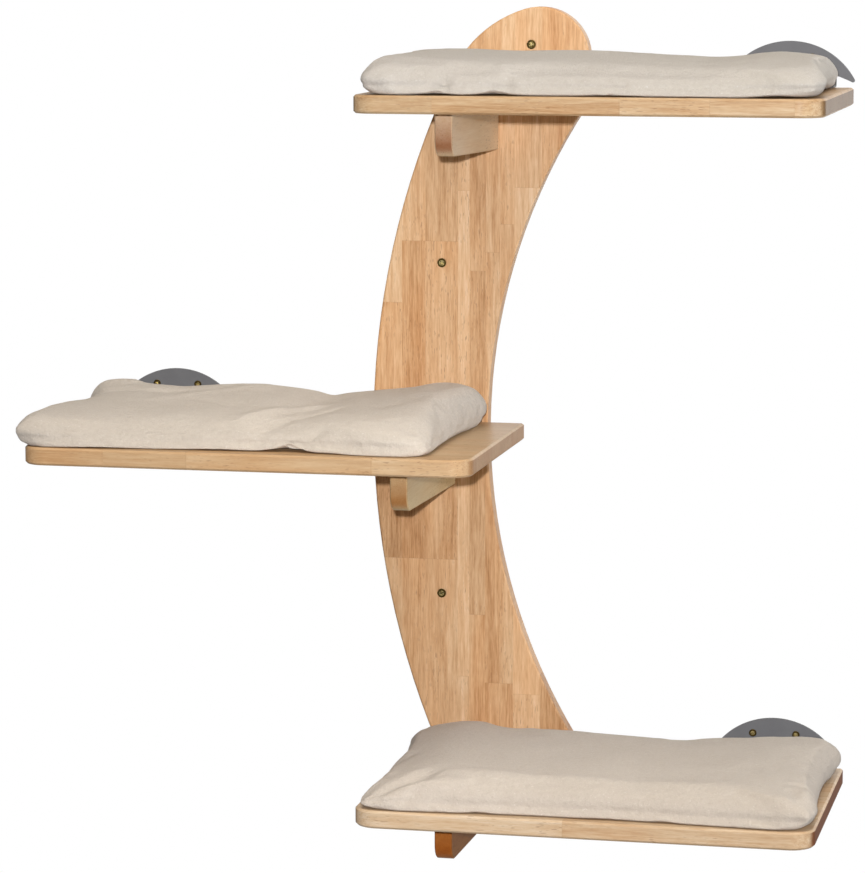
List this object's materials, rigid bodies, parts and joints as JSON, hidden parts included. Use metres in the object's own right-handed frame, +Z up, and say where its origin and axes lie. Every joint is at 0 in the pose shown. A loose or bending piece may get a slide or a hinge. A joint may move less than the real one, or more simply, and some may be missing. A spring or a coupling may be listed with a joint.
{
  "type": "cat climbing wall",
  "caption": "Wall-mounted cat climber: a crescent-shaped wooden board carries shelves to both sides, each with a cleat, a bent steel wall plate and a loose cushion.",
  "frame": {"origin": "on the wall face, at the middle of the crescent's waist, level with the middle of the middle shelf's thickness", "axes": "+X along the wall towards the top and bottom shelves' free ends, +Y into the wall, +Z up"},
  "size_m": [0.819, 0.35, 0.8847],
  "materials": {
    "board_wood": "satin lacquered, edge-glued light hardwood, staves upright",
    "shelf_wood": "satin lacquered, edge-glued light hardwood, staves along the shelf",
    "cleat_wood": "satin lacquered light hardwood",
    "grey_steel": "fine matt powder coat",
    "brass_screw": "yellow passivated, slightly dull",
    "zinc_screw": "bright zinc",
    "cream_fleece": "short soft pile"
  },
  "bodies": {
    "wall_frame": {"backboard": "board_wood", "board_wall_screws": "brass_screw", "top_shelf": "shelf_wood", "top_cleat": "cleat_wood", "top_wall_plate": "grey_steel", "top_shelf_rear_screws": "zinc_screw", "top_cleat_rear_screws": "zinc_screw", "top_cleat_top_screws": "zinc_screw", "top_plate_wall_screws": "brass_screw", "top_plate_foot_screws": "zinc_screw", "middle_shelf": "shelf_wood", "middle_cleat": "cleat_wood", "middle_wall_plate": "grey_steel", "middle_shelf_rear_screws": "zinc_screw", "middle_cleat_rear_screws": "zinc_screw", "middle_cleat_top_screws": "zinc_screw", "middle_plate_wall_screws": "brass_screw", "middle_plate_foot_screws": "zinc_screw", "bottom_shelf": "shelf_wood", "bottom_cleat": "cleat_wood", "bottom_wall_plate": "grey_steel", "bottom_shelf_rear_screws": "zinc_screw", "bottom_cleat_rear_screws": "zinc_screw", "bottom_cleat_top_screws": "zinc_screw", "bottom_plate_wall_screws": "brass_screw", "bottom_plate_foot_screws": "zinc_screw"},
    "top_pad": {"top_cushion": "cream_fleece"},
    "middle_pad": {"middle_cushion": "cream_fleece"},
    "bottom_pad": {"bottom_cushion": "cream_fleece"}
  },
  "joints": [
    {"name": "top_cushion_lift", "type": "slide", "parent": "wall_frame", "child": "top_pad", "axis": [0, 0, 1], "range_m": [0, 0.12]},
    {"name": "middle_cushion_lift", "type": "slide", "parent": "wall_frame", "child": "middle_pad", "axis": [0, 0, 1], "range_m": [0, 0.12]},
    {"name": "bottom_cushion_lift", "type": "slide", "parent": "wall_frame", "child": "bottom_pad", "axis": [0, 0, 1], "range_m": [0, 0.12]}
  ]
}
